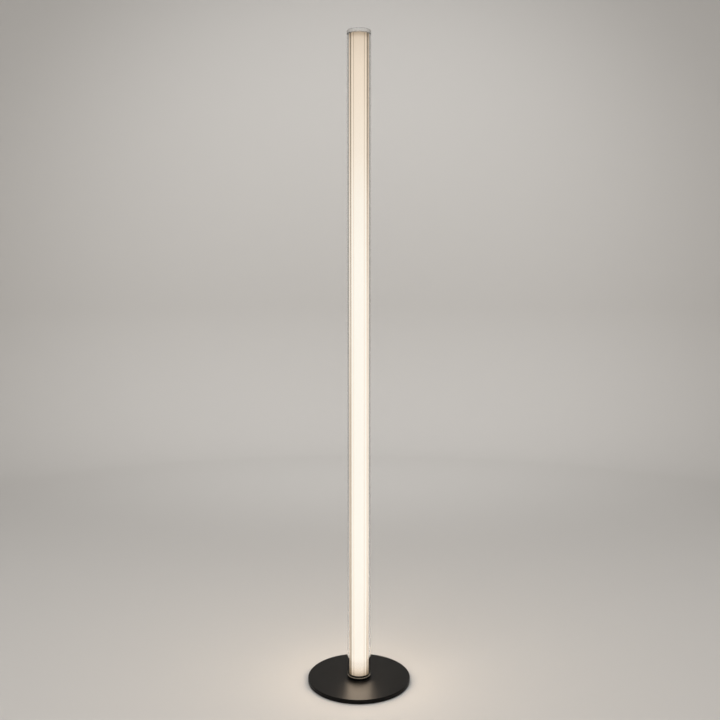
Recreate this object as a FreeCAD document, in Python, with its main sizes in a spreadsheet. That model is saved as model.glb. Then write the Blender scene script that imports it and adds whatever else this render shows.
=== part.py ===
import FreeCAD, Part
import math
import os
import Sketcher

# Tube floor lamp. Millimetres, +Z up. The origin is on the floor, under the middle of the base.
# The front is -Y, and the supply cord goes in at the rear, +Y.

DRIVING_SIZES = (
    # whole lamp
    ("lamp_height", 1644, "floor to the top of the clear cap"),
    ("base_diameter", 264, "steel disc"),
    # clearances
    ("drop_gap", 0.3, "round a piece that drops into place"),
    ("slide_gap", 0.2, "between core fins and diffuser"),
    ("thread_gap", 0.1, "between a screw's shank and its threaded hole"),
    ("seal_gap", 0.05, "round the soft ring at rest"),
    ("push_gap", 0.1, "between the core and its plug"),
    ("hole_runout", 0.6, "blind hole past the end of its screw"),
    # base plate, its pad and its cover
    ("plate_thickness", 10, "steel"),
    ("plate_bevel", 0.8, "upper edge"),
    ("recess_side", 56, "square room for the terminal block"),
    ("recess_depth", 6.5, "from the underside"),
    ("recess_round", 6, "corners of the recess"),
    ("ledge_width", 8, "ledge that the cover lies on"),
    ("cover_thickness", 1.2, "steel sheet"),
    ("cover_round", 5, "corners of the cover"),
    ("pad_thickness", 1.5, "soft ring under the plate"),
    ("pad_inset", 6, "from the rim in to the pad"),
    ("pad_reveal", 1, "from the cover's ledge out to the pad"),
    # cord inlet
    ("slot_width", 7, "slot for the cord under the plate"),
    ("slot_depth", 8, "from the underside"),
    ("rim_wall", 14, "from the rim in to the slot"),
    ("cord_bore", 5, "hole of the grommet"),
    ("grommet_wall", 0.8, "round the cord"),
    ("grommet_flange", 7.8, "diameter of its outer flange"),
    ("grommet_flange_thickness", 1.3, "outer flange"),
    ("grommet_sink", 0.4, "from the rim in to the grommet's outer face"),
    # terminal block
    ("block_width", 15, "across the two ways"),
    ("block_front", 3.5, "from the leads to its front end"),
    ("block_rear", 8, "from the leads to its rear end"),
    ("block_gap", 0.5, "between block and cover"),
    ("block_screw_offset", 4.5, "from the leads to its screw"),
    ("entry_width", 2.6, "square entry for one conductor"),
    ("entry_depth", 3.5, "of that entry"),
    ("release_width", 1.6, "release slot"),
    ("release_length", 3, "release slot"),
    ("release_depth", 0.8, "release slot"),
    # inner leads
    ("lead_diameter", 1.8, "over the insulation"),
    ("lead_spacing", 8, "between the two leads"),
    ("lead_hole", 3, "through plate, socket and board"),
    ("lead_tail", 1, "end above the feed board"),
    # socket and cushion
    ("collar_height", 5, "part as wide as the tube"),
    ("tube_seat", 3, "height of the step inside the clear tube"),
    ("cushion_height", 2, "soft ring under the diffuser"),
    ("diffuser_seat", 12, "height of the step inside the diffuser"),
    # tubes
    ("tube_diameter", 60, "clear tube, outside"),
    ("tube_wall", 4, "clear tube"),
    ("tube_gap", 1, "between the two tubes"),
    ("tube_bevel", 0.5, "polished ends of the clear tube"),
    ("diffuser_wall", 2, "opal tube"),
    ("growth_gap", 1, "over the diffuser, for heat"),
    # cap
    ("cap_thickness", 9, "above the tube"),
    ("cap_bevel", 1.2, "upper edge"),
    ("cap_spigot", 7.5, "part inside the diffuser"),
    # core
    ("face_offset", 10, "from the middle to a tape's face"),
    ("profile_wall", 1.8, "walls of the extrusion"),
    ("profile_round", 1.0, "outer corners of the extrusion"),
    ("port_wall", 1.3, "round a screw port"),
    ("fin_thickness", 1.6, "web of a fin"),
    ("fin_foot", 5, "width of a fin's foot"),
    ("fin_foot_thickness", 1.4, "foot against the diffuser"),
    ("lip_height", 1.6, "beside a tape"),
    ("lip_thickness", 1, "beside a tape"),
    # board, tapes and plug
    ("board_thickness", 1.6, "feed board"),
    ("board_margin", 2, "from the board's blunt corners to the diffuser"),
    ("board_reach", 3, "board beyond the core's faces"),
    ("tape_width", 10, "flexible board"),
    ("tape_thickness", 0.4, "flexible board"),
    ("tape_end_gap", 8, "from the tape's end to the core's"),
    ("line_width", 4, "phosphor line"),
    ("line_height", 1, "phosphor line"),
    ("line_margin", 6, "bare tape at each end"),
    ("plug_thickness", 2, "disc over the core"),
    ("plug_depth", 8, "part inside the core"),
    ("plug_room", 2.5, "from that disc to the cap, for heat"),
    # screws
    ("cover_screw_shank", 3, "M3"),
    ("cover_screw_head", 6, "flat head"),
    ("cover_screw_head_height", 0.9, "flat head"),
    ("cover_screw_length", 5, "under the head"),
    ("cover_screw_key", 2, "hexagon"),
    ("core_screw_shank", 4, "M4"),
    ("core_screw_head", 7, "cylinder head"),
    ("core_screw_head_height", 4, "cylinder head"),
    ("core_screw_length", 40, "under the head"),
    ("core_screw_key", 3, "hexagon"),
    ("block_screw_shank", 2, "M2"),
    ("block_screw_head", 3.8, "cylinder head"),
    ("block_screw_head_height", 1.3, "cylinder head"),
    ("block_screw_grip", 2.4, "length held in the plate"),
    ("block_screw_key", 1.3, "hexagon"),
)

THIRDS = 3  # the core has three faces and three corners, with a screw in each corner
THIRD_TURN = 120  # degrees
FRONT_FACE = -90  # direction of the front face, in degrees from +X
KEY_DEPTH = 0.7  # share of a screw's head that its hexagon goes into
TINY = 1e-6  # a length or volume that counts as none
SAME_PLACE = 0.01  # two places nearer than this are one

doc = FreeCAD.newDocument("tube_floor_lamp")
sheet = doc.addObject("Spreadsheet::Sheet", "sizes")


class Size:
    """A size both as a formula on the sheet and as its present number."""

    def __init__(self, text, number):
        self.text = text
        self.number = float(number)

    def __add__(self, other):
        other = as_size(other)
        return Size(f"({self.text} + {other.text})", self.number + other.number)

    def __sub__(self, other):
        other = as_size(other)
        return Size(f"({self.text} - {other.text})", self.number - other.number)

    def __mul__(self, other):
        other = as_size(other)
        return Size(f"({self.text} * {other.text})", self.number * other.number)

    def __truediv__(self, other):
        other = as_size(other)
        return Size(f"({self.text} / {other.text})", self.number / other.number)

    def __neg__(self):
        return Size(f"(0 - {self.text})", -self.number)


def as_size(value):
    return value if isinstance(value, Size) else Size(f"{value}", value)


def cosine(degrees):
    return Size(f"cos({degrees} deg)", math.cos(math.radians(degrees)))


def sine(degrees):
    return Size(f"sin({degrees} deg)", math.sin(math.radians(degrees)))


def fill_sheet():
    table = {}
    for row, (name, number, note) in enumerate(DRIVING_SIZES, start=1):
        sheet.set(f"A{row}", name)
        sheet.set(f"B{row}", str(number))
        sheet.setAlias(f"B{row}", name)
        sheet.set(f"C{row}", note)
        table[name] = Size(f"sizes.{name}", number)
    doc.recompute()
    return table


size = fill_sheet()
ZERO = as_size(0)

# ---- widths and radii that more than one piece uses

base_radius = size["base_diameter"] / 2
recess_half = size["recess_side"] / 2
ledge_half = recess_half + size["ledge_width"]
cover_screw_radius = recess_half + size["ledge_width"] / 2
tube_radius = size["tube_diameter"] / 2
tube_bore_radius = tube_radius - size["tube_wall"]
diffuser_radius = tube_bore_radius - size["tube_gap"]
diffuser_bore_radius = diffuser_radius - size["diffuser_wall"]
tube_seat_radius = tube_bore_radius - size["drop_gap"]
diffuser_seat_radius = diffuser_bore_radius - size["drop_gap"]
way_offset = size["lead_spacing"] / 2
core_screw_clearance = size["core_screw_shank"] / 2 + size["drop_gap"]

# A screw port touches the two faces beside it from inside, and the blunt corner touches the port.
# The port's centre is at 60 degrees to both faces, so its distance counts half towards each.
port_radius = size["core_screw_shank"] / 2 + size["thread_gap"]
boss_radius = port_radius + size["port_wall"]
port_circle_radius = (size["face_offset"] - boss_radius) * 2
nose_offset = port_circle_radius + boss_radius

# ---- heights, from the floor up

plate_underside = size["pad_thickness"]
cover_top = plate_underside + size["cover_thickness"]
block_underside = cover_top + size["block_gap"]
recess_ceiling = plate_underside + size["recess_depth"]
inlet_height = plate_underside + size["plate_thickness"] / 2
plate_top = plate_underside + size["plate_thickness"]
tube_foot = plate_top + size["collar_height"]
cushion_foot = tube_foot + size["tube_seat"]
diffuser_foot = cushion_foot + size["cushion_height"]
socket_top = diffuser_foot + size["diffuser_seat"]
core_foot = socket_top + size["board_thickness"]
tube_top = size["lamp_height"] - size["cap_thickness"]
diffuser_top = tube_top - size["growth_gap"]
cap_foot = tube_top - size["cap_spigot"]
plug_top = cap_foot - size["plug_room"]
core_top = plug_top - size["plug_thickness"]
tape_length = core_top - core_foot - size["tape_end_gap"]


# ---- sketches


def new_body(label):
    body = doc.addObject("PartDesign::Body", label)
    body.Label = label
    return body


def origin_feature(body, role):
    for feature in body.Origin.OriginFeatures:
        if feature.Role == role:
            return feature


def new_sketch(body, name, role="XY_Plane", lift=None):
    # lift moves the sketch along its plane's normal: up, or for XZ_Plane towards the front
    sketch = body.newObject("Sketcher::SketchObject", f"{body.Name}_{name}")
    sketch.AttachmentSupport = (origin_feature(body, role), [""])
    sketch.MapMode = "FlatFace"
    if lift is not None:
        sketch.setExpression("AttachmentOffset.Base.z", lift.text)
    return sketch


def tie(sketch, kind, first, second, distance, name):
    # one distance, kept positive and bound to its formula
    if abs(distance.number) < TINY:
        axis = -2 if kind == "DistanceX" else -1
        sketch.addConstraint(Sketcher.Constraint("PointOnObject", *second, axis))
        return
    if distance.number < 0:
        first, second, distance = second, first, -distance
    index = sketch.addConstraint(Sketcher.Constraint(kind, *first, *second, distance.number))
    sketch.renameConstraint(index, name)
    sketch.setExpression(f"Constraints.{name}", distance.text)


def tie_point(sketch, point, x, y, name):
    tie(sketch, "DistanceX", (-1, 1), point, x, f"{name}_x")
    tie(sketch, "DistanceY", (-1, 1), point, y, f"{name}_y")


def tie_radius(sketch, curve, radius, name):
    index = sketch.addConstraint(Sketcher.Constraint("Radius", curve, radius.number))
    sketch.renameConstraint(index, f"{name}_radius")
    sketch.setExpression(f"Constraints.{name}_radius", radius.text)


def join_ends(sketch, curve, follower):
    sketch.addConstraint(Sketcher.Constraint("Coincident", curve, 2, follower, 1))


def add_line(sketch, start, end):
    points = [FreeCAD.Vector(x.number, y.number, 0) for x, y in (start, end)]
    return sketch.addGeometry(Part.LineSegment(*points), False)


def add_arc(sketch, centre_y, radius, middle, spread):
    # an arc about a point of the sketch's Y axis, spread to both sides of its middle direction
    centre = FreeCAD.Vector(0, centre_y, 0)
    circle = Part.Circle(centre, FreeCAD.Vector(0, 0, 1), radius)
    return sketch.addGeometry(Part.ArcOfCircle(circle, middle - spread, middle + spread), False)


def add_outline(sketch, corners, name="corner"):
    lines = []
    for index, corner in enumerate(corners):
        lines.append(add_line(sketch, corner, corners[(index + 1) % len(corners)]))
    for index, line in enumerate(lines):
        join_ends(sketch, line, lines[(index + 1) % len(lines)])
        tie_point(sketch, (line, 1), *corners[index], f"{name}{index}")


def add_circle(sketch, radius, x=ZERO, y=ZERO, name="circle"):
    centre = FreeCAD.Vector(x.number, y.number, 0)
    circle = sketch.addGeometry(Part.Circle(centre, FreeCAD.Vector(0, 0, 1), radius.number), False)
    if abs(x.number) < TINY and abs(y.number) < TINY:
        sketch.addConstraint(Sketcher.Constraint("Coincident", circle, 3, -1, 1))
    else:
        tie_point(sketch, (circle, 3), x, y, name)
    tie_radius(sketch, circle, radius, name)


def add_turning_line(sketch, start, end):
    # the line that a profile turns about, when that isn't the sketch's Y axis
    line = add_line(sketch, start, end)
    sketch.setConstruction(line, True)
    tie_point(sketch, (line, 1), *start, "axis_start")
    tie_point(sketch, (line, 2), *end, "axis_end")


def box_corners(x_low, x_high, y_low, y_high):
    return [(x_low, y_low), (x_high, y_low), (x_high, y_high), (x_low, y_high)]


def turned(x, y, degrees):
    # a sketch point turned about the origin
    return x * cosine(degrees) - y * sine(degrees), x * sine(degrees) + y * cosine(degrees)


def add_hexagon(sketch, across_flats, x, y):
    corner_radius = across_flats / 2 / cosine(30)
    corners = []
    for step in range(6):
        offset_x, offset_y = turned(corner_radius, ZERO, 60 * step)
        corners.append((x + offset_x, y + offset_y))
    add_outline(sketch, corners)


def blunt_triangle(face, nose):
    # six corners: three faces at one distance from the middle, cut by three noses at another
    half = (nose - face * cosine(60)) / sine(60)
    corners = []
    for index in range(THIRDS):
        direction = FRONT_FACE + index * THIRD_TURN
        corners.append(turned(face, -half, direction))
        corners.append(turned(face, half, direction))
    return corners


# ---- features


def add_feature(body, kind, sketch, name, **settings):
    feature = body.newObject(f"PartDesign::{kind}", f"{body.Name}_{name}")
    feature.Profile = sketch
    for key, value in settings.items():
        if isinstance(value, Size):
            feature.setExpression(key, value.text)
        else:
            setattr(feature, key, value)
    sketch.Visibility = False
    doc.recompute()
    return feature


def pad(body, sketch, name, length):
    return add_feature(body, "Pad", sketch, name, Length=length)


def cut(body, kind, sketch, name, **settings):
    # a cut that points away from the solid removes nothing and raises no error
    before = body.Shape.Volume
    feature = add_feature(body, kind, sketch, name, **settings)
    if body.Shape.Volume >= before - TINY:
        raise RuntimeError(f"{feature.Name} removes nothing")
    return feature


def pocket(body, sketch, name, depth, along_normal=True):
    return cut(body, "Pocket", sketch, name, Length=depth, Reversed=along_normal)


def revolve(body, sketch, line="V_Axis", name="turning"):
    axis = (sketch, [line])
    return add_feature(body, "Revolution", sketch, name, ReferenceAxis=axis, Angle=360)


def repeat_in_ring(body, originals, name, count=THIRDS):
    pattern = body.newObject("PartDesign::PolarPattern", f"{body.Name}_{name}")
    pattern.Originals = originals
    pattern.Axis = (origin_feature(body, "Z_Axis"), [""])
    pattern.Angle = 360
    pattern.Occurrences = count
    body.Tip = pattern
    doc.recompute()


def edge_names(shape, wanted):
    names = []
    for index, edge in enumerate(shape.Edges, start=1):
        middle = edge.valueAt((edge.FirstParameter + edge.LastParameter) / 2)
        if wanted(edge, middle):
            names.append(f"Edge{index}")
    return names


def circle_edges(shape, radius, height):
    # full circles about the Z axis
    def wanted(edge, middle):
        off_radius = abs(math.hypot(middle.x, middle.y) - radius.number)
        off_height = abs(middle.z - height.number)
        return edge.Closed and max(off_radius, off_height) < SAME_PLACE

    return edge_names(shape, wanted)


def upright_edges(shape, half, low, high):
    # the four corners of an upright square form
    def wanted(edge, middle):
        off_corner = abs(abs(middle.x) - half.number) + abs(abs(middle.y) - half.number)
        off_height = abs(middle.z - (low.number + high.number) / 2)
        return max(off_corner, off_height) < SAME_PLACE

    return edge_names(shape, wanted)


def soften(body, kind, names, name, amount):
    solid = body.Tip
    feature = body.newObject(f"PartDesign::{kind}", f"{body.Name}_{name}")
    feature.Base = (solid, names)
    feature.setExpression("Radius" if kind == "Fillet" else "Size", amount.text)
    doc.recompute()


def set_turn(body, degrees):
    turn = FreeCAD.Rotation(FreeCAD.Vector(0, 0, 1), degrees)
    body.Placement = FreeCAD.Placement(FreeCAD.Vector(0, 0, 0), turn)


# ---- screws


def make_screw(body, kind, x, y, under_head, length):
    # a head below and a shank that points up. kind picks the screw's sizes.
    head_face = under_head - size[f"{kind}_screw_head_height"]
    tip = under_head + length
    shank_x = x + size[f"{kind}_screw_shank"] / 2
    head_x = x + size[f"{kind}_screw_head"] / 2
    profile = new_sketch(body, "profile", "XZ_Plane", -y)
    add_turning_line(profile, (x, head_face), (x, tip))
    add_outline(profile, [
        (x, head_face),
        (head_x, head_face),
        (head_x, under_head),
        (shank_x, under_head),
        (shank_x, tip),
        (x, tip),
    ])
    turning = revolve(body, profile, "Axis0")
    hexagon = new_sketch(body, "hexagon", lift=head_face)
    add_hexagon(hexagon, size[f"{kind}_screw_key"], x, y)
    key = pocket(body, hexagon, "key", size[f"{kind}_screw_head_height"] * KEY_DEPTH)
    return [turning, key]


def make_cover_screws():
    body = new_body("cover_screws")
    length = size["cover_screw_length"]
    first = make_screw(body, "cover", cover_screw_radius, ZERO, plate_underside, length)
    repeat_in_ring(body, first, "pair", 2)
    return body


def make_core_screws():
    # long screws from the recess up through plate, socket and board into the core's ports
    body = new_body("core_screws")
    length = size["core_screw_length"]
    first = make_screw(body, "core", ZERO, port_circle_radius, recess_ceiling, length)
    repeat_in_ring(body, first, "ring")
    return body


def make_terminal_screw():
    body = new_body("terminal_screw")
    under_head = block_underside + size["block_screw_head_height"]
    length = recess_ceiling - under_head + size["block_screw_grip"]
    make_screw(body, "block", ZERO, size["block_screw_offset"], under_head, length)
    return body


# ---- base


def make_base_pad():
    body = new_body("base_pad")
    sketch = new_sketch(body, "disc")
    add_circle(sketch, base_radius - size["pad_inset"])
    pad(body, sketch, "sheet", size["pad_thickness"])
    opening = new_sketch(body, "opening")
    half = ledge_half + size["pad_reveal"]
    add_outline(opening, box_corners(-half, half, -half, half))
    pocket(body, opening, "opening_cut", size["pad_thickness"])
    corners = upright_edges(body.Shape, half, ZERO, size["pad_thickness"])
    soften(body, "Fillet", corners, "opening_rounds", size["cover_round"] + size["pad_reveal"])
    return body


def make_base_plate():
    body = new_body("base_plate")
    disc = new_sketch(body, "disc", lift=plate_underside)
    add_circle(disc, base_radius)
    pad(body, disc, "plate", size["plate_thickness"])
    top_rim = circle_edges(body.Shape, base_radius, plate_top)
    soften(body, "Chamfer", top_rim, "rim_bevel", size["plate_bevel"])
    for name, half, depth, top, corner_round in (
        ("recess", recess_half, size["recess_depth"], recess_ceiling, size["recess_round"]),
        ("ledge", ledge_half, size["cover_thickness"], cover_top, size["cover_round"]),
    ):
        square = new_sketch(body, name, lift=plate_underside)
        add_outline(square, box_corners(-half, half, -half, half))
        pocket(body, square, f"{name}_cut", depth)
        corners = upright_edges(body.Shape, half, plate_underside, top)
        soften(body, "Fillet", corners, f"{name}_rounds", corner_round)
    cut_cord_inlet(body)
    cut_plate_holes(body)
    return body


def cut_cord_inlet(body):
    # a slot milled from below, with a round end short of the rim, and a hole through the rim
    # with a shallow seat for the grommet's flange
    half = size["slot_width"] / 2
    slot_start = recess_half - size["slot_width"]
    round_y = base_radius - size["rim_wall"] - half
    slot = new_sketch(body, "slot", lift=plate_underside)
    add_outline(slot, box_corners(-half, half, slot_start, round_y))
    pocket(body, slot, "cord_slot", size["slot_depth"])
    slot_end = new_sketch(body, "slot_end", lift=plate_underside)
    add_circle(slot_end, half, ZERO, round_y, "end")
    pocket(body, slot_end, "cord_slot_end", size["slot_depth"])
    neck_radius = size["cord_bore"] / 2 + size["grommet_wall"]
    hole = new_sketch(body, "inlet", "XZ_Plane", -base_radius)
    add_circle(hole, neck_radius + size["thread_gap"], ZERO, inlet_height, "inlet")
    pocket(body, hole, "inlet_hole", size["rim_wall"])
    seat = new_sketch(body, "inlet_seat", "XZ_Plane", -base_radius)
    add_circle(seat, size["grommet_flange"] / 2 + size["thread_gap"], ZERO, inlet_height, "seat")
    pocket(body, seat, "inlet_seat_cut", size["grommet_sink"] + size["grommet_flange_thickness"])


def cut_plate_holes(body):
    cut_lead_holes(body, recess_ceiling, plate_top)
    cut_core_screw_holes(body, recess_ceiling, plate_top)
    cover_hole = new_sketch(body, "cover_hole", lift=cover_top)
    thread_radius = size["cover_screw_shank"] / 2 + size["thread_gap"]
    add_circle(cover_hole, thread_radius, cover_screw_radius, ZERO, "thread")
    depth = size["cover_screw_length"] - size["cover_thickness"] + size["hole_runout"]
    repeat_in_ring(body, [pocket(body, cover_hole, "cover_thread", depth)], "cover_threads", 2)
    block_hole = new_sketch(body, "block_hole", lift=recess_ceiling)
    thread_radius = size["block_screw_shank"] / 2 + size["thread_gap"]
    add_circle(block_hole, thread_radius, ZERO, size["block_screw_offset"], "thread")
    pocket(body, block_hole, "block_thread", size["block_screw_grip"] + size["hole_runout"])


def cut_lead_holes(body, foot, top):
    holes = new_sketch(body, "lead_holes", lift=foot)
    for name, way in (("right", way_offset), ("left", -way_offset)):
        add_circle(holes, size["lead_hole"] / 2, way, ZERO, name)
    pocket(body, holes, "lead_hole_cut", top - foot)


def cut_core_screw_holes(body, foot, top):
    hole = new_sketch(body, "core_hole", lift=foot)
    add_circle(hole, core_screw_clearance, ZERO, port_circle_radius, "hole")
    repeat_in_ring(body, [pocket(body, hole, "core_hole_cut", top - foot)], "core_hole_ring")


def make_base_cover():
    body = new_body("base_cover")
    square = new_sketch(body, "square", lift=plate_underside)
    half = ledge_half - size["drop_gap"]
    add_outline(square, box_corners(-half, half, -half, half))
    pad(body, square, "sheet", size["cover_thickness"])
    corners = upright_edges(body.Shape, half, plate_underside, cover_top)
    soften(body, "Fillet", corners, "corner_rounds", size["cover_round"] - size["drop_gap"])
    hole = new_sketch(body, "hole", lift=plate_underside)
    hole_radius = size["cover_screw_shank"] / 2 + size["drop_gap"]
    add_circle(hole, hole_radius, cover_screw_radius, ZERO, "hole")
    repeat_in_ring(body, [pocket(body, hole, "screw_hole", size["cover_thickness"])], "screw_holes", 2)
    return body


def make_cord_grommet():
    body = new_body("cord_grommet")
    bore = inlet_height + size["cord_bore"] / 2
    neck = bore + size["grommet_wall"]
    flange = inlet_height + size["grommet_flange"] / 2
    inner = base_radius - size["rim_wall"]
    outer = base_radius - size["grommet_sink"]
    shoulder = outer - size["grommet_flange_thickness"]
    profile = new_sketch(body, "profile", "YZ_Plane")
    add_turning_line(profile, (inner, inlet_height), (outer, inlet_height))
    add_outline(profile, [
        (inner, bore),
        (outer, bore),
        (outer, flange),
        (shoulder, flange),
        (shoulder, neck),
        (inner, neck),
    ])
    revolve(body, profile, "Axis0")
    return body


def make_terminal_block():
    # a two-way push-in block: leads enter from above, cord conductors from the rear end
    body = new_body("terminal_block")
    half = size["block_width"] / 2
    height = recess_ceiling - block_underside
    footprint = new_sketch(body, "footprint", lift=block_underside)
    add_outline(footprint, box_corners(-half, half, -size["block_front"], size["block_rear"]))
    pad(body, footprint, "housing", height)
    entry = size["entry_width"] / 2
    middle_z = (block_underside + recess_ceiling) / 2
    lead_entries = new_sketch(body, "lead_entries", lift=recess_ceiling)
    cord_entries = new_sketch(body, "cord_entries", "XZ_Plane", -size["block_rear"])
    slots = new_sketch(body, "slots", lift=block_underside)
    slot_half = size["release_width"] / 2
    slot_end = size["release_length"] / 2
    for name, way in (("right", way_offset), ("left", -way_offset)):
        add_outline(lead_entries, box_corners(way - entry, way + entry, -entry, entry), name)
        low, high = middle_z - entry / 2, middle_z + entry / 2
        add_outline(cord_entries, box_corners(way - entry, way + entry, low, high), name)
        add_outline(slots, box_corners(way - slot_half, way + slot_half, -slot_end, slot_end), name)
    pocket(body, lead_entries, "lead_entry_cut", size["entry_depth"], along_normal=False)
    pocket(body, cord_entries, "cord_entry_cut", size["entry_depth"])
    pocket(body, slots, "release_slots", size["release_depth"])
    for name, diameter, depth in (
        ("screw_head", size["block_screw_head"], size["block_screw_head_height"]),
        ("screw_shank", size["block_screw_shank"], height),
    ):
        hole = new_sketch(body, name, lift=block_underside)
        add_circle(hole, diameter / 2 + size["drop_gap"], ZERO, size["block_screw_offset"], name)
        pocket(body, hole, f"{name}_hole", depth)
    return body


def make_lead(label, x):
    # a short straight run from the block up through plate, socket and feed board
    body = new_body(label)
    start = recess_ceiling - size["entry_depth"]
    section = new_sketch(body, "section", lift=start)
    add_circle(section, size["lead_diameter"] / 2, x, ZERO, "lead")
    pad(body, section, "run", core_foot + size["lead_tail"] - start)
    return body


# ---- socket and cushion


def make_tube_socket():
    # turned from bar: a collar as wide as the clear tube, a low step inside that tube and a
    # higher step inside the diffuser, which the core stands on
    body = new_body("tube_socket")
    profile = new_sketch(body, "profile", "XZ_Plane")
    add_outline(profile, [
        (ZERO, plate_top),
        (tube_radius, plate_top),
        (tube_radius, tube_foot),
        (tube_seat_radius, tube_foot),
        (tube_seat_radius, cushion_foot),
        (diffuser_seat_radius, cushion_foot),
        (diffuser_seat_radius, socket_top),
        (ZERO, socket_top),
    ])
    revolve(body, profile)
    cut_lead_holes(body, plate_top, socket_top)
    cut_core_screw_holes(body, plate_top, socket_top)
    return body


def make_tube_cushion():
    # a soft ring under the diffuser that also grips the clear tube
    body = new_body("tube_cushion")
    inside = diffuser_seat_radius + size["seal_gap"]
    outside = tube_bore_radius - size["seal_gap"]
    profile = new_sketch(body, "profile", "XZ_Plane")
    add_outline(profile, box_corners(inside, outside, cushion_foot, diffuser_foot))
    revolve(body, profile)
    return body


# ---- core, boards and tapes


def make_feed_board():
    body = new_body("feed_board")
    sketch = new_sketch(body, "board", lift=socket_top)
    face = size["face_offset"] + size["board_reach"]
    add_outline(sketch, blunt_triangle(face, diffuser_bore_radius - size["board_margin"]))
    pad(body, sketch, "sheet", size["board_thickness"])
    cut_lead_holes(body, socket_top, core_foot)
    cut_core_screw_holes(body, socket_top, core_foot)
    return body


def make_led_core():
    # an extrusion: a hollow triangle with blunt corners, a screw port inside each corner, a fin
    # outside each corner that centres the diffuser, and lips beside each tape
    body = new_body("led_core")
    length = core_top - core_foot
    shell = new_sketch(body, "shell", lift=core_foot)
    add_outline(shell, blunt_triangle(size["face_offset"], nose_offset))
    pad(body, shell, "outer_form", length)
    edges = edge_names(body.Shape, lambda edge, middle: core_foot.number < middle.z < core_top.number)
    soften(body, "Fillet", edges, "outer_rounds", size["profile_round"])
    hollow = new_sketch(body, "hollow", lift=core_foot)
    inner_face = size["face_offset"] - size["profile_wall"]
    add_outline(hollow, blunt_triangle(inner_face, nose_offset - size["profile_wall"]))
    pocket(body, hollow, "hollow_cut", length)

    boss = new_sketch(body, "boss", lift=core_foot)
    add_circle(boss, boss_radius, ZERO, port_circle_radius, "boss")
    repeat_in_ring(body, [pad(body, boss, "port_boss", length)], "port_bosses")
    fin = new_sketch(body, "fin", lift=core_foot)
    draw_fin(fin)
    repeat_in_ring(body, [pad(body, fin, "fin_pad", length)], "fins")
    port = new_sketch(body, "port", lift=core_foot)
    add_circle(port, port_radius, ZERO, port_circle_radius, "port")
    repeat_in_ring(body, [pocket(body, port, "port_cut", length)], "port_cuts")

    lips = new_sketch(body, "lips", lift=core_foot)
    inner = size["tape_width"] / 2 + size["drop_gap"]
    outer = inner + size["lip_thickness"]
    crest = -size["face_offset"] - size["lip_height"]
    root = size["profile_wall"] / 2 - size["face_offset"]
    add_outline(lips, box_corners(inner, outer, crest, root), "right")
    add_outline(lips, box_corners(-outer, -inner, crest, root), "left")
    repeat_in_ring(body, [pad(body, lips, "lip_pair", length)], "lip_pairs")
    return body


def draw_fin(sketch):
    # a T: the web stands on the nose, and the foot's outer face is an arc along the diffuser
    web = size["fin_thickness"] / 2
    foot = size["fin_foot"] / 2
    root = nose_offset - size["profile_wall"] / 2
    tip = diffuser_bore_radius - size["slide_gap"]
    shoulder = tip - size["fin_foot_thickness"]
    arc_end = as_size(math.sqrt(tip.number**2 - foot.number**2))
    path = [(-foot, arc_end), (-foot, shoulder), (-web, shoulder), (-web, root)]
    path += [(-x, y) for x, y in reversed(path)]
    lines = [add_line(sketch, *ends) for ends in zip(path, path[1:])]
    arc = add_arc(sketch, 0, tip.number, math.pi / 2, math.asin(foot.number / tip.number))
    outline = lines + [arc]
    for index, curve in enumerate(outline):
        join_ends(sketch, curve, outline[(index + 1) % len(outline)])
    sketch.addConstraint(Sketcher.Constraint("Coincident", arc, 3, -1, 1))
    tie_radius(sketch, arc, tip, "tip")
    tie(sketch, "DistanceX", (-1, 1), (lines[0], 1), -foot, "left_end")
    tie(sketch, "DistanceX", (-1, 1), (arc, 1), foot, "right_end")
    for index in range(1, len(lines)):
        tie_point(sketch, (lines[index], 1), *path[index], f"fin{index}")


def make_led_tape(label, degrees):
    body = new_body(label)
    half = size["tape_width"] / 2
    face = -size["face_offset"]
    section = new_sketch(body, "section", lift=core_foot)
    add_outline(section, box_corners(-half, half, face - size["tape_thickness"], face))
    pad(body, section, "tape", tape_length)
    set_turn(body, degrees)
    return body


def make_led_line(label, degrees):
    # the low dome of phosphor along a tape
    body = new_body(label)
    half = size["line_width"] / 2
    height = size["line_height"]
    root = -size["face_offset"] - size["tape_thickness"]
    dome_radius = (half * half + height * height) / (height * 2)
    section = new_sketch(body, "section", lift=core_foot + size["line_margin"])
    base = add_line(section, (half, root), (-half, root))
    centre_y = (root - height + dome_radius).number
    spread = math.asin(half.number / dome_radius.number)
    dome = add_arc(section, centre_y, dome_radius.number, -math.pi / 2, spread)
    join_ends(section, base, dome)
    join_ends(section, dome, base)
    tie_point(section, (base, 1), half, root, "right")
    tie_point(section, (base, 2), -half, root, "left")
    tie_radius(section, dome, dome_radius, "dome")
    pad(body, section, "line", tape_length - size["line_margin"] * 2)
    set_turn(body, degrees)
    return body


def make_core_plug():
    # an end plug: a disc that closes the diffuser and a six-sided stem between the screw ports
    body = new_body("core_plug")
    disc = new_sketch(body, "disc", lift=core_top)
    add_circle(disc, diffuser_seat_radius)
    pad(body, disc, "flange", size["plug_thickness"])
    stem = new_sketch(body, "stem", lift=core_top - size["plug_depth"])
    face = size["face_offset"] - size["profile_wall"] - size["push_gap"]
    nose = port_circle_radius - boss_radius - size["push_gap"]
    add_outline(stem, blunt_triangle(face, nose))
    pad(body, stem, "stem_pad", size["plug_depth"])
    return body


# ---- tubes and cap


def make_tube(label, radius, bore_radius, foot, top):
    body = new_body(label)
    sketch = new_sketch(body, "ring", lift=foot)
    add_circle(sketch, radius, name="outside")
    add_circle(sketch, bore_radius, name="inside")
    pad(body, sketch, "wall", top - foot)
    return body


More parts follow.
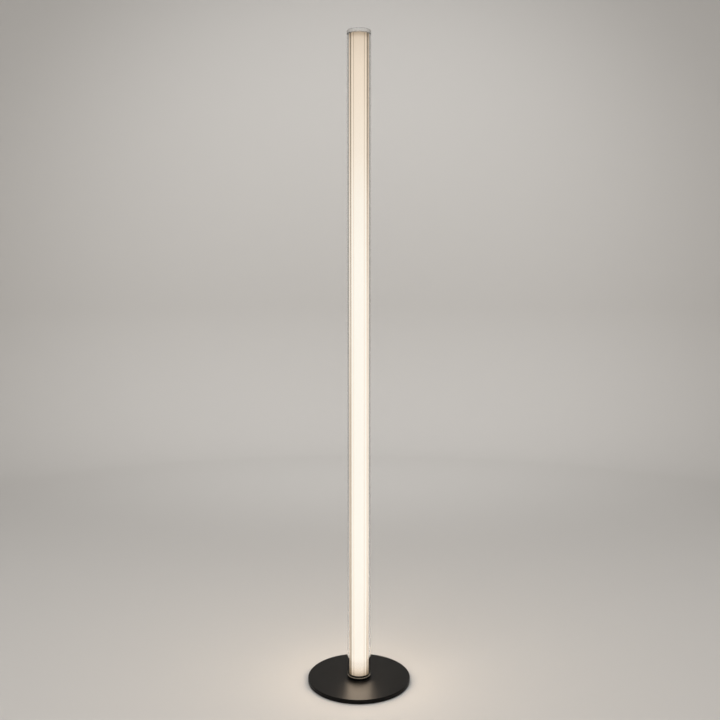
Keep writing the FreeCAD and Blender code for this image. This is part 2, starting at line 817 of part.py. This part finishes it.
def make_clear_tube():
    body = make_tube("clear_tube", tube_radius, tube_bore_radius, tube_foot, tube_top)
    rims = circle_edges(body.Shape, tube_radius, tube_foot)
    rims += circle_edges(body.Shape, tube_radius, tube_top)
    soften(body, "Chamfer", rims, "end_bevels", size["tube_bevel"])
    return body


def make_top_cap():
    # bonded on the clear tube, with a spigot that centres the diffuser at its top
    body = new_body("top_cap")
    lamp_top = size["lamp_height"]
    profile = new_sketch(body, "profile", "XZ_Plane")
    add_outline(profile, [
        (ZERO, cap_foot),
        (diffuser_seat_radius, cap_foot),
        (diffuser_seat_radius, tube_top),
        (tube_radius, tube_top),
        (tube_radius, lamp_top),
        (ZERO, lamp_top),
    ])
    revolve(body, profile)
    top_rim = circle_edges(body.Shape, tube_radius, lamp_top)
    soften(body, "Chamfer", top_rim, "top_bevel", size["cap_bevel"])
    return body


nodes = [
    make_base_pad(),
    make_base_plate(),
    make_base_cover(),
    make_cover_screws(),
    make_cord_grommet(),
    make_terminal_block(),
    make_terminal_screw(),
    make_lead("lead_red", way_offset),
    make_lead("lead_black", -way_offset),
    make_tube_socket(),
    make_tube_cushion(),
    make_core_screws(),
    make_feed_board(),
    make_led_core(),
    make_core_plug(),
    make_tube("diffuser_tube", diffuser_radius, diffuser_bore_radius, diffuser_foot, diffuser_top),
    make_clear_tube(),
    make_top_cap(),
]
for side, degrees_from_front in (("front", 0), ("right", THIRD_TURN), ("left", -THIRD_TURN)):
    nodes.append(make_led_tape(f"led_tape_{side}", degrees_from_front))
    nodes.append(make_led_line(f"led_line_{side}", degrees_from_front))

doc.recompute()
for item in doc.Objects:
    if "Invalid" in item.State or "Error" in item.State:
        raise RuntimeError(f"{item.Name} failed: {item.State}")
for node in nodes:
    if node.Shape.isNull() or not node.Shape.isValid():
        raise RuntimeError(f"{node.Label} has no valid shape")

os.makedirs("parts", exist_ok=True)
for node in nodes:
    node.Shape.exportStep(f"parts/{node.Label}.step")
    box = node.Shape.BoundBox
    print(f"{node.Label:16s} {len(node.Shape.Solids)} solids, {node.Shape.Volume:10.1f} mm3, "
          f"z {box.ZMin:7.2f} to {box.ZMax:7.2f}")
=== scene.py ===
import math
import bmesh
import bpy
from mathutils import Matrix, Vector


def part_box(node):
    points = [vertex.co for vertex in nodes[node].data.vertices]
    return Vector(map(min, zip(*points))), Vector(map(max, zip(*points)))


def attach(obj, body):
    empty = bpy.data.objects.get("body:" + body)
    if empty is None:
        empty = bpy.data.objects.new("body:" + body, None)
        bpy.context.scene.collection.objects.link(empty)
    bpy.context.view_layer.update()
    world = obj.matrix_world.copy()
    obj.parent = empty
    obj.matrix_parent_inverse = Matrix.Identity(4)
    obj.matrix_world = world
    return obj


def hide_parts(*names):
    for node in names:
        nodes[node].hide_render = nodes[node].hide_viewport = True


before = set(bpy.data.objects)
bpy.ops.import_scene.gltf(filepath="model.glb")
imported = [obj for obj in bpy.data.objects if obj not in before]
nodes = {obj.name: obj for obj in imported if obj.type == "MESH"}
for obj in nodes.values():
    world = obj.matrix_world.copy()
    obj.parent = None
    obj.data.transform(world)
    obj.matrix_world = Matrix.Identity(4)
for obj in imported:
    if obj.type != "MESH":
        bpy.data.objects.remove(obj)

# Tube floor lamp, lit. Metres, +Z up, the front is -Y.

scene = bpy.context.scene
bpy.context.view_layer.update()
mm = 0.001
onAxis = 0.0001 * mm  # a point this near the axis is on it
sameSpot = 0.002 * mm  # corners this near each other are one
sharpAngle = math.radians(30)
grainBand = (0.3, 0.7)  # a grain's values lie mostly between these
grainLift = 0.5  # strength of a grain's relief


# making meshes

def roundedProfile(corners, steps=5):
    # corners are (radius, height, rounding): each one becomes a short arc of that rounding
    points = []
    count = len(corners)
    for index, (r, z, rounding) in enumerate(corners):
        before = corners[index - 1]
        after = corners[(index + 1) % count]
        inX, inZ = before[0] - r, before[1] - z
        outX, outZ = after[0] - r, after[1] - z
        inLength, outLength = math.hypot(inX, inZ), math.hypot(outX, outZ)
        if rounding <= 0:
            points.append((r, z))
            continue
        inX, inZ, outX, outZ = inX / inLength, inZ / inLength, outX / outLength, outZ / outLength
        half = math.acos(max(-1, min(1, inX * outX + inZ * outZ))) / 2
        reach = rounding / math.tan(half)
        middle = rounding / math.sin(half)
        bisectX, bisectZ = inX + outX, inZ + outZ
        size = math.hypot(bisectX, bisectZ)
        centreX, centreZ = r + bisectX / size * middle, z + bisectZ / size * middle
        startAngle = math.atan2(z + inZ * reach - centreZ, r + inX * reach - centreX)
        endAngle = math.atan2(z + outZ * reach - centreZ, r + outX * reach - centreX)
        turn = (endAngle - startAngle + math.pi) % (2 * math.pi) - math.pi
        for step in range(steps + 1):
            angle = startAngle + turn * step / steps
            points.append((centreX + rounding * math.cos(angle),
                           centreZ + rounding * math.sin(angle)))
    return points


def turnedPiece(name, profile, segments, closed=True):
    # spins a profile about Z. A point on the axis becomes a single vertex.
    mesh = bpy.data.meshes.new(name)
    piece = bpy.data.objects.new(name, mesh)
    scene.collection.objects.link(piece)
    shape = bmesh.new()
    rings = []
    for r, z in profile:
        if r < onAxis:
            rings.append([shape.verts.new((0, 0, z))] * segments)
            continue
        ring = []
        for index in range(segments):
            angle = 2 * math.pi * index / segments
            ring.append(shape.verts.new((r * math.cos(angle), r * math.sin(angle), z)))
        rings.append(ring)
    pairs = list(zip(rings, rings[1:]))
    if closed:
        pairs.append((rings[-1], rings[0]))
    for lower, upper in pairs:
        for index in range(segments):
            after = (index + 1) % segments
            corners = [lower[index], lower[after], upper[after], upper[index]]
            corners = [v for k, v in enumerate(corners) if v not in corners[:k]]
            if len(corners) > 2:
                shape.faces.new(corners)
    bmesh.ops.recalc_face_normals(shape, faces=shape.faces)
    shape.to_mesh(mesh)
    shape.free()
    mesh.shade_smooth()
    keepFlats = piece.modifiers.new("keepFlats", "WEIGHTED_NORMAL")
    keepFlats.weight = 100  # flat faces decide the shading beside them
    return piece


def seat(piece, replacedNode, material):
    piece.data.materials.append(material)
    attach(piece, "root")
    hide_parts(replacedNode)
    return piece


def easeEdges(nodeName, width, segments=2):
    # rounds a CAD node's edges a little
    node = nodes[nodeName]
    weld = node.modifiers.new("joinFaces", "WELD")
    weld.merge_threshold = sameSpot
    bevel = node.modifiers.new("easeEdges", "BEVEL")
    bevel.width = width
    bevel.segments = segments
    bevel.limit_method = "ANGLE"
    bevel.angle_limit = sharpAngle
    bevel.harden_normals = True
    bevel.use_clamp_overlap = True


# making materials

def newMaterial(name):
    material = bpy.data.materials.new(name)
    material.use_nodes = True
    return material, material.node_tree, material.node_tree.nodes["Principled BSDF"]


def calc(tree, operation, first, second=0.0, third=0.0):
    # one Math node. Each value is a number or a socket.
    node = tree.nodes.new("ShaderNodeMath")
    node.operation = operation
    for socket, value in zip(node.inputs, (first, second, third)):
        if isinstance(value, (int, float)):
            socket.default_value = value
        else:
            tree.links.new(value, socket)
    return node.outputs[0]


def fade(tree, value, near, far, atNear, atFar):
    # a smooth change from one number to another
    node = tree.nodes.new("ShaderNodeMapRange")
    node.interpolation_type = "SMOOTHSTEP"
    tree.links.new(value, node.inputs["Value"])
    node.inputs["From Min"].default_value = near
    node.inputs["From Max"].default_value = far
    node.inputs["To Min"].default_value = atNear
    node.inputs["To Max"].default_value = atFar
    return node.outputs["Result"]


def colourScale(tree, value, stops):
    node = tree.nodes.new("ShaderNodeValToRGB")
    tree.links.new(value, node.inputs["Fac"])
    ramp = node.color_ramp
    while len(ramp.elements) < len(stops):
        ramp.elements.new(1.0)
    for element, (place, colour) in zip(ramp.elements, stops):
        element.position = place
        element.color = (*colour, 1)
    return node.outputs["Color"]


def placeOf(tree, stretch=(1, 1, 1)):
    coords = tree.nodes.new("ShaderNodeTexCoord")
    mapping = tree.nodes.new("ShaderNodeMapping")
    mapping.inputs["Scale"].default_value = stretch
    tree.links.new(coords.outputs["Object"], mapping.inputs["Vector"])
    return mapping.outputs["Vector"]


def grain(tree, place, scale, detail=3.0):
    node = tree.nodes.new("ShaderNodeTexNoise")
    node.inputs["Scale"].default_value = scale
    node.inputs["Detail"].default_value = detail
    tree.links.new(place, node.inputs["Vector"])
    return node.outputs["Fac"]


def raiseGrain(tree, shader, height, distance):
    node = tree.nodes.new("ShaderNodeBump")
    node.inputs["Distance"].default_value = distance
    node.inputs["Strength"].default_value = grainLift
    tree.links.new(height, node.inputs["Height"])
    tree.links.new(node.outputs["Normal"], shader.inputs["Normal"])


def finish(name, look):
    # a finish with a fine grain: two near colours, a band of roughness and a low relief
    material, tree, shader = newMaterial(name)
    place = placeOf(tree, look.get("stretch", (1, 1, 1)))
    fine = grain(tree, place, look["grainScale"])
    broad = grain(tree, place, look["cloudScale"], detail=2.0)
    mixed = calc(tree, "MULTIPLY_ADD", fine, 0.5, calc(tree, "MULTIPLY", broad, 0.5))  # half of each
    colours = list(zip(grainBand, (look["dark"], look["light"])))
    tree.links.new(colourScale(tree, mixed, colours), shader.inputs["Base Color"])
    tree.links.new(fade(tree, mixed, *grainBand, *look["roughness"]), shader.inputs["Roughness"])
    raiseGrain(tree, shader, fine, look["relief"])
    shader.inputs["Metallic"].default_value = look.get("metallic", 0.0)
    shader.inputs["Specular IOR Level"].default_value = look.get("shine", 0.5)
    return material


# black coated steel: plate, cover and socket

coatedSteel = {
    "dark": (0.0040, 0.0037, 0.0034),
    "light": (0.0064, 0.0060, 0.0056),
    "roughness": (0.36, 0.44),
    "grainScale": 900,
    "cloudScale": 14,
    "relief": 0.02 * mm,
    "shine": 0.10,
}
coverSteel = dict(coatedSteel, light=(0.016, 0.014, 0.012), roughness=(0.42, 0.5), shine=0.4)
socketBlack = dict(coatedSteel, grainScale=1500, roughness=(0.20, 0.26), shine=0.45)

nodes["base_plate"].data.materials[0] = finish("coatedSteel", coatedSteel)
nodes["base_cover"].data.materials[0] = finish("coverSteel", coverSteel)
nodes["tube_socket"].data.materials[0] = finish("socketBlack", socketBlack)
easeEdges("base_plate", 0.35 * mm, 3)
easeEdges("base_cover", 0.2 * mm)
easeEdges("tube_socket", 0.3 * mm)
print("base: plate, cover and socket finished")


# soft pieces: floor pad, grommet, cushion

padFoam = {
    "dark": (0.018, 0.018, 0.017),
    "light": (0.038, 0.037, 0.035),
    "roughness": (0.85, 0.95),
    "grainScale": 700,
    "cloudScale": 30,
    "relief": 0.25 * mm,
    "shine": 0.25,
}
softRubber = dict(padFoam, light=(0.03, 0.03, 0.029), roughness=(0.6, 0.7), grainScale=1600,
                  relief=0.03 * mm)

nodes["base_pad"].data.materials[0] = finish("padFoam", padFoam)
rubber = finish("softRubber", softRubber)
for nodeName in ("cord_grommet", "tube_cushion"):
    nodes[nodeName].data.materials[0] = rubber
easeEdges("base_pad", 0.3 * mm)
easeEdges("cord_grommet", 0.2 * mm)
easeEdges("tube_cushion", 0.25 * mm)
print("base: pad, grommet and cushion finished")


# screws, wiring and boards. Only the cover's screws are in sight, from below.

zincPlate = {
    "dark": (0.48, 0.47, 0.44),
    "light": (0.66, 0.65, 0.62),
    "roughness": (0.28, 0.42),
    "grainScale": 1200,
    "cloudScale": 180,
    "relief": 0.01 * mm,
    "metallic": 1.0,
}
terminalPlastic = {
    "dark": (0.66, 0.64, 0.58),
    "light": (0.74, 0.72, 0.66),
    "roughness": (0.42, 0.52),
    "grainScale": 1400,
    "cloudScale": 90,
    "relief": 0.015 * mm,
}
plugPlastic = dict(terminalPlastic, dark=(0.78, 0.77, 0.73), light=(0.85, 0.84, 0.80))
redInsulation = dict(terminalPlastic, dark=(0.40, 0.018, 0.014), light=(0.52, 0.03, 0.022),
                     roughness=(0.3, 0.4))
blackInsulation = dict(terminalPlastic, dark=(0.014, 0.014, 0.014), light=(0.024, 0.024, 0.023),
                       roughness=(0.3, 0.4))
whiteBoard = dict(terminalPlastic, dark=(0.74, 0.75, 0.71), light=(0.83, 0.83, 0.79),
                  roughness=(0.25, 0.35))
whiteTape = dict(whiteBoard, dark=(0.72, 0.70, 0.64), light=(0.82, 0.80, 0.75), stretch=(1, 1, 0.2))

zinc = finish("zincPlate", zincPlate)
for nodeName, width in (("cover_screws", 0.15), ("core_screws", 0.25), ("terminal_screw", 0.12)):
    nodes[nodeName].data.materials[0] = zinc
    easeEdges(nodeName, width * mm)
for nodeName, materialName, look, width in (
    ("terminal_block", "terminalPlastic", terminalPlastic, 0.2),
    ("core_plug", "plugPlastic", plugPlastic, 0.3),
    ("lead_red", "redInsulation", redInsulation, 0.1),
    ("lead_black", "blackInsulation", blackInsulation, 0.1),
    ("feed_board", "whiteBoard", whiteBoard, 0.08),
):
    nodes[nodeName].data.materials[0] = finish(materialName, look)
    easeEdges(nodeName, width * mm)
print("wiring, screws and board finished")


# core: drawn aluminium, white tapes and their lit lines

drawnAluminium = {
    "dark": (0.60, 0.60, 0.59),
    "light": (0.74, 0.74, 0.73),
    "roughness": (0.26, 0.40),
    "grainScale": 800,
    "cloudScale": 60,
    "relief": 0.01 * mm,
    "metallic": 1.0,
    "stretch": (1, 1, 0.02),  # die lines run along it
}
phosphorLine = {
    "colour": (0.92, 0.74, 0.34),
    "glow": (1.0, 0.86, 0.62),
    "strength": 1.6,
    "roughness": 0.5,
    "grainScale": 1500,
    "relief": 0.05 * mm,
    "darker": 0.85,
    "band": (0.35, 0.65),
}

nodes["led_core"].data.materials[0] = finish("drawnAluminium", drawnAluminium)
easeEdges("led_core", 0.15 * mm)
tapeWhite = finish("whiteTape", whiteTape)


def phosphor(look):
    material, tree, shader = newMaterial("phosphor")
    shader.inputs["Emission Color"].default_value = (*look["glow"], 1)
    shader.inputs["Emission Strength"].default_value = look["strength"]
    shader.inputs["Roughness"].default_value = look["roughness"]
    speck = grain(tree, placeOf(tree), look["grainScale"])
    darker = tuple(look["darker"] * part for part in look["colour"])
    colours = list(zip(look["band"], (darker, look["colour"])))
    tree.links.new(colourScale(tree, speck, colours), shader.inputs["Base Color"])
    raiseGrain(tree, shader, speck, look["relief"])
    return material


phosphorYellow = phosphor(phosphorLine)
for side in ("front", "right", "left"):
    nodes[f"led_tape_{side}"].data.materials[0] = tapeWhite
    nodes[f"led_line_{side}"].data.materials[0] = phosphorYellow
print("core, tapes and lines finished")


# opal tube, lit from inside

opalTube = {
    "segments": 144,
    "rounding": 0.4 * mm,
    "bore": 23 * mm,
    "reflects": (0.065, 0.06, 0.055),  # a low share, because the tube is seen by its own light
    "darker": 0.9,
    "roughness": 0.42,
    "shine": 0.3,
    "grainScale": 2600,
    "relief": 0.01 * mm,
    "finAt": 60,  # degrees from the front to the nearest fin
    "finSpacing": 120,
    "fullLevel": 2.0,
    # light level at heights from the floor, in metres
    "alongHeight": [
        (0.0215, 0.45), (0.030, 0.70), (0.045, 1.10), (0.07, 1.38), (0.25, 1.52), (0.40, 1.65),
        (1.00, 1.68), (1.23, 1.40), (1.34, 1.12), (1.57, 0.86), (1.62, 0.74), (1.634, 0.42),
    ],
    # warm colour seen at a light level
    "colours": [
        (0.00, (0.00, 0.00, 0.00)), (0.32, (0.29, 0.21, 0.13)), (0.70, (0.68, 0.555, 0.43)),
        (0.90, (0.83, 0.70, 0.56)), (1.15, (0.915, 0.81, 0.685)), (1.55, (0.968, 0.91, 0.81)),
        (2.00, (0.982, 0.933, 0.848)),
    ],
    "strength": 1.07,
    # the core shades the tube at its three fins, painted into its light: a dark line at each edge of
    # the fin's foot, a dim band over the foot, and a thin line from each lip beside a tape. Degrees.
    "footLine": {"fromFin": 9.7, "width": 7.5, "depth": 0.94},
    "footBand": {"from": 5.0, "to": 9.5},
    "bandDepth": {"right": 0.36, "rear": 0.28},
    "leftBandDepth": [(0.03, 0.60), (0.70, 0.55), (1.02, 0.18)],
    "lipLine": {"fromFin": 29.7, "width": 3.2, "depth": 0.50},
    # share of the foot line's depth at the right-hand fin along the height. The others keep it all.
    "rightFinShade": [
        (0.03, 0.80), (0.11, 0.78), (0.25, 0.50), (0.70, 0.52), (1.10, 0.80), (1.40, 1.0),
    ],
}


def heightScale(tree, height, shares, low, high, full=1.0):
    ramp = [((z - low) / (high - low), (share / full,) * 3) for z, share in shares]
    part = calc(tree, "DIVIDE", calc(tree, "SUBTRACT", height, low), high - low)
    return calc(tree, "MULTIPLY", colourScale(tree, part, ramp), full)


def litOpal(look, low, high):
    material, tree, shader = newMaterial("litOpal")
    shader.inputs["Roughness"].default_value = look["roughness"]
    shader.inputs["Specular IOR Level"].default_value = look["shine"]
    shader.inputs["Emission Strength"].default_value = look["strength"]
    coords = tree.nodes.new("ShaderNodeTexCoord")
    split = tree.nodes.new("ShaderNodeSeparateXYZ")
    tree.links.new(coords.outputs["Object"], split.inputs["Vector"])
    x, y, z = (split.outputs[axis] for axis in "XYZ")

    # degrees round the tube from the front, then from the nearest fin
    spacing = look["finSpacing"]
    around = calc(tree, "DEGREES", calc(tree, "ARCTAN2", x, calc(tree, "MULTIPLY", y, -1)))
    fromFin = calc(tree, "SUBTRACT", calc(tree, "WRAP", around, spacing, 0), look["finAt"])
    fromFin = calc(tree, "ABSOLUTE", fromFin)
    onRear = calc(tree, "GREATER_THAN", calc(tree, "ABSOLUTE", around), spacing)
    onRight = calc(tree, "SUBTRACT", calc(tree, "GREATER_THAN", around, 0),
                   calc(tree, "GREATER_THAN", around, spacing))

    def shadeLine(part):
        away = calc(tree, "ABSOLUTE", calc(tree, "SUBTRACT", fromFin, part["fromFin"]))
        return fade(tree, away, 0, part["width"], part["depth"], 0)

    # the right-hand fin's lines are fainter
    rightShade = calc(tree, "SUBTRACT", heightScale(tree, z, look["rightFinShade"], low, high), 1)
    footShade = calc(tree, "MULTIPLY_ADD", onRight, rightShade, 1)
    depth = look["bandDepth"]
    leftDepth = heightScale(tree, z, look["leftBandDepth"], low, high)
    bandShade = leftDepth
    for there, itsDepth in ((onRight, depth["right"]), (onRear, depth["rear"])):
        change = calc(tree, "MULTIPLY", there, calc(tree, "SUBTRACT", itsDepth, leftDepth))
        bandShade = calc(tree, "ADD", bandShade, change)
    band = look["footBand"]
    inBand = calc(tree, "MULTIPLY", fade(tree, fromFin, band["from"], band["to"], 1, 0), bandShade)
    dim = calc(tree, "MAXIMUM", calc(tree, "MULTIPLY", shadeLine(look["footLine"]), footShade), inBand)
    dim = calc(tree, "MAXIMUM", dim, shadeLine(look["lipLine"]))
    full = look["fullLevel"]
    light = calc(tree, "MULTIPLY", calc(tree, "SUBTRACT", 1, dim),
                 heightScale(tree, z, look["alongHeight"], low, high, full))
    colours = [(level / full, colour) for level, colour in look["colours"]]
    tree.links.new(colourScale(tree, calc(tree, "DIVIDE", light, full), colours),
                   shader.inputs["Emission Color"])

    bloom = grain(tree, placeOf(tree), look["grainScale"])
    darker = tuple(look["darker"] * part for part in look["reflects"])
    surface = list(zip(grainBand, (darker, look["reflects"])))
    tree.links.new(colourScale(tree, bloom, surface), shader.inputs["Base Color"])
    raiseGrain(tree, shader, bloom, look["relief"])
    return material


def makeOpalTube(look):
    low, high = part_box("diffuser_tube")
    outside = high.x
    rounding = look["rounding"]
    profile = roundedProfile([
        (look["bore"], low.z, rounding),
        (outside, low.z, rounding),
        (outside, high.z, rounding),
        (look["bore"], high.z, rounding),
    ])
    piece = turnedPiece("opalTube", profile, look["segments"])
    return seat(piece, "diffuser_tube", litOpal(look, low.z, high.z))


makeOpalTube(opalTube)
print("opal tube made")


# clear tube and cap

clearAcrylic = {
    "tint": (0.985, 0.99, 0.985),
    "roughness": 0.015,
    "ior": 1.49,
    # a little of the lamp's light leaves at the tube's lower end, painted there as a glow
    "footGlow": (1.0, 0.80, 0.58),
    "footStrength": 0.2,
    "footReach": 1.2 * mm,
}
clearTube = {
    "segments": 192,
    "bore": 26 * mm,
    "polish": 0.8 * mm,  # rounding of its polished ends
    "joint": 0.02 * mm,  # film between tube and cap
}
clearCap = {
    "segments": 192,
    "topRound": 1.2 * mm,
    "jointRound": 0.4 * mm,
    "spigot": 22.7 * mm,
    "spigotRound": 0.5 * mm,
}


def clearPlastic(look, foot):
    material, tree, shader = newMaterial("clearAcrylic")
    shader.inputs["Base Color"].default_value = (*look["tint"], 1)
    shader.inputs["Roughness"].default_value = look["roughness"]
    shader.inputs["IOR"].default_value = look["ior"]
    shader.inputs["Transmission Weight"].default_value = 1.0
    # a painted glow at the tube's lower end, fading out within footReach above it
    shader.inputs["Emission Strength"].default_value = look["footStrength"]
    split = tree.nodes.new("ShaderNodeSeparateXYZ")
    tree.links.new(placeOf(tree), split.inputs["Vector"])
    above = calc(tree, "DIVIDE", calc(tree, "SUBTRACT", split.outputs["Z"], foot), look["footReach"])
    tree.links.new(colourScale(tree, above, [(0, look["footGlow"]), (1, (0, 0, 0))]),
                   shader.inputs["Emission Color"])
    return material


clear = clearPlastic(clearAcrylic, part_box("clear_tube")[0].z)


def makeClearTube(look):
    low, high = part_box("clear_tube")
    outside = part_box("top_cap")[1].x
    profile = roundedProfile([
        (look["bore"], low.z, look["polish"] / 2),
        (outside, low.z, look["polish"]),
        (outside, high.z - look["joint"], look["polish"]),
        (look["bore"], high.z - look["joint"], look["polish"] / 2),
    ])
    piece = turnedPiece("clearTube", profile, look["segments"])
    return seat(piece, "clear_tube", clear)


def makeClearCap(look):
    low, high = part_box("top_cap")
    outside = high.x
    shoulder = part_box("clear_tube")[1].z
    profile = roundedProfile([
        (0, low.z, 0),
        (look["spigot"], low.z, look["spigotRound"]),
        (look["spigot"], shoulder, 0),
        (outside, shoulder, look["jointRound"]),
        (outside, high.z, look["topRound"]),
        (0, high.z, 0),
    ])
    piece = turnedPiece("clearCap", profile, look["segments"], closed=False)
    return seat(piece, "top_cap", clear)


makeClearTube(clearTube)
makeClearCap(clearCap)
print("clear tube and cap made")


# studio: a pale round sweep, soft light and the camera

studio = {
    "underBase": 0.1255,  # the paper is open under the lamp's pad
    "floorRadius": 2.9,
    "sweep": 0.9,
    "sweepSteps": 12,
    "segments": 128,
    "roughness": 0.9,
    "shine": 0.1,
    "wallHeight": 4.2,
    "colour": (0.60, 0.585, 0.565),
    "skyColour": (1.0, 0.99, 0.975),
    "skyStrength": 0.65,
}
softLights = (
    # name, place, looks at, width, height, power
    ("frontSoft", (-1.7, -2.0, 2.9), (0, 0, 0.6), 1.6, 1.6, 15),
    ("topSoft", (0.2, -0.4, 3.6), (0, 0, 0.4), 2.4, 2.4, 39),
)
wallPool = {
    "place": (0, 0.2, 3.7),
    "target": (0, 3.6, 1.2),
    "power": 250,
    "cone": 80,
    "radius": 0.3,
}
tubeGlow = {
    # soft light that the lit tube throws on the base and the floor
    "sides": 12,
    "radius": 31 * mm,
    "width": 16 * mm,
    "from": 25 * mm,
    "to": 1630 * mm,
    "power": 0.65,
    "colour": (1.0, 0.80, 0.60),
}
photoView = {
    "place": (0.00257, -2.0992, 1.0100),
    "tilt": 85.27,
    "lens": 41.715,
    "sensor": 36,
}


def makeSweep(look):
    inner = look["floorRadius"]
    bend = look["sweep"]
    steps = look["sweepSteps"]
    profile = [(look["underBase"], 0), (inner, 0)]
    for step in range(1, steps + 1):
        angle = math.pi / 2 * step / steps
        profile.append((inner + bend * math.sin(angle), bend * (1 - math.cos(angle))))
    profile.append((inner + bend, look["wallHeight"]))
    piece = turnedPiece("studioSweep", profile, look["segments"], closed=False)
    if piece.data.polygons[0].normal.z < 0:
        piece.data.flip_normals()
    material, tree, shader = newMaterial("studioPaper")
    shader.inputs["Base Color"].default_value = (*look["colour"], 1)
    shader.inputs["Roughness"].default_value = look["roughness"]
    shader.inputs["Specular IOR Level"].default_value = look["shine"]
    # clear from below, so that the lamp can be looked at from there
    side = tree.nodes.new("ShaderNodeNewGeometry")
    clearSide = tree.nodes.new("ShaderNodeBsdfTransparent")
    twoSides = tree.nodes.new("ShaderNodeMixShader")
    tree.links.new(side.outputs["Backfacing"], twoSides.inputs["Fac"])
    tree.links.new(shader.outputs["BSDF"], twoSides.inputs[1])
    tree.links.new(clearSide.outputs["BSDF"], twoSides.inputs[2])
    tree.links.new(twoSides.outputs["Shader"], tree.nodes["Material Output"].inputs["Surface"])
    piece.data.materials.append(material)


def makeSky(look):
    world = bpy.data.worlds.new("studioSky")
    scene.world = world
    world.use_nodes = True
    background = world.node_tree.nodes["Background"]
    background.inputs["Color"].default_value = (*look["skyColour"], 1)
    background.inputs["Strength"].default_value = look["skyStrength"]


def aim(item, target):
    direction = [t - p for t, p in zip(target, item.location)]
    item.rotation_euler = Vector(direction).to_track_quat("-Z", "Y").to_euler()


def makeLamp(name, kind, place, power, colour=(1, 1, 1)):
    lamp = bpy.data.lights.new(name, kind)
    lamp.energy = power
    lamp.color = colour
    item = bpy.data.objects.new(name, lamp)
    item.location = place
    item.visible_camera = False
    item.visible_transmission = False
    scene.collection.objects.link(item)
    return item


def makeLights():
    for name, place, target, width, height, power in softLights:
        item = makeLamp(name, "AREA", place, power)
        item.data.shape = "RECTANGLE"
        item.data.size = width
        item.data.size_y = height
        item.visible_glossy = False
        aim(item, target)

    pool = makeLamp("wallPool", "SPOT", wallPool["place"], wallPool["power"])
    pool.data.spot_size = math.radians(wallPool["cone"])
    pool.data.spot_blend = 1.0
    pool.data.shadow_soft_size = wallPool["radius"]
    aim(pool, wallPool["target"])

    low, high, count = tubeGlow["from"], tubeGlow["to"], tubeGlow["sides"]
    for index in range(count):
        angle = 2 * math.pi * index / count
        outward = (math.sin(angle), -math.cos(angle))
        place = [tubeGlow["radius"] * part for part in outward] + [(low + high) / 2]
        item = makeLamp(f"tubeGlow{index}", "AREA", place, tubeGlow["power"], tubeGlow["colour"])
        item.data.shape = "RECTANGLE"
        item.data.size = tubeGlow["width"]
        item.data.size_y = high - low
        aim(item, (place[0] + outward[0], place[1] + outward[1], place[2]))


def makeCamera(look):
    camera = bpy.data.cameras.new("photoCamera")
    camera.lens = look["lens"]
    camera.sensor_width = look["sensor"]
    item = bpy.data.objects.new("photoCamera", camera)
    item.location = look["place"]
    item.rotation_euler = (math.radians(look["tilt"]), 0, 0)
    scene.collection.objects.link(item)
    scene.camera = item


makeSweep(studio)
makeSky(studio)
makeLights()
makeCamera(photoView)
scene.view_settings.view_transform = "Standard"
print("studio, lights and camera set")
